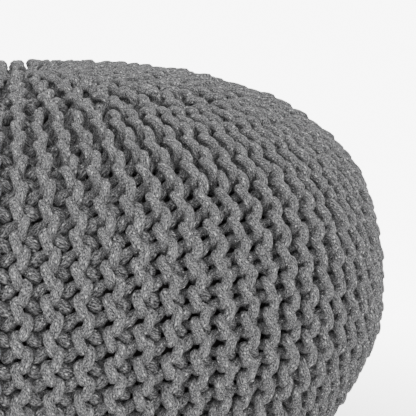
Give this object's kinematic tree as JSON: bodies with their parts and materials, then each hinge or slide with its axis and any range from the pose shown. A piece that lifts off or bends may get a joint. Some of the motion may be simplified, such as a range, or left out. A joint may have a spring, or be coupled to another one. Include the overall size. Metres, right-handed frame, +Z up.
{
  "type": "knitted pouf",
  "caption": "Round filled floor pouf under a chunky knitted cover whose ridges run like meridians from a gathered top centre, with a flat base.",
  "frame": {"origin": "centre of the flat base, on the surface that the pouf stands on", "axes": "+Z up through the gathered centre of the top; -Y faces the viewer"},
  "size_m": [0.5, 0.5, 0.3059],
  "materials": {
    "knit_cover": "matt heathered cotton cord, knitted"
  },
  "bodies": {
    "root": {"knitted_pouf": "knit_cover"}
  },
  "joints": []
}
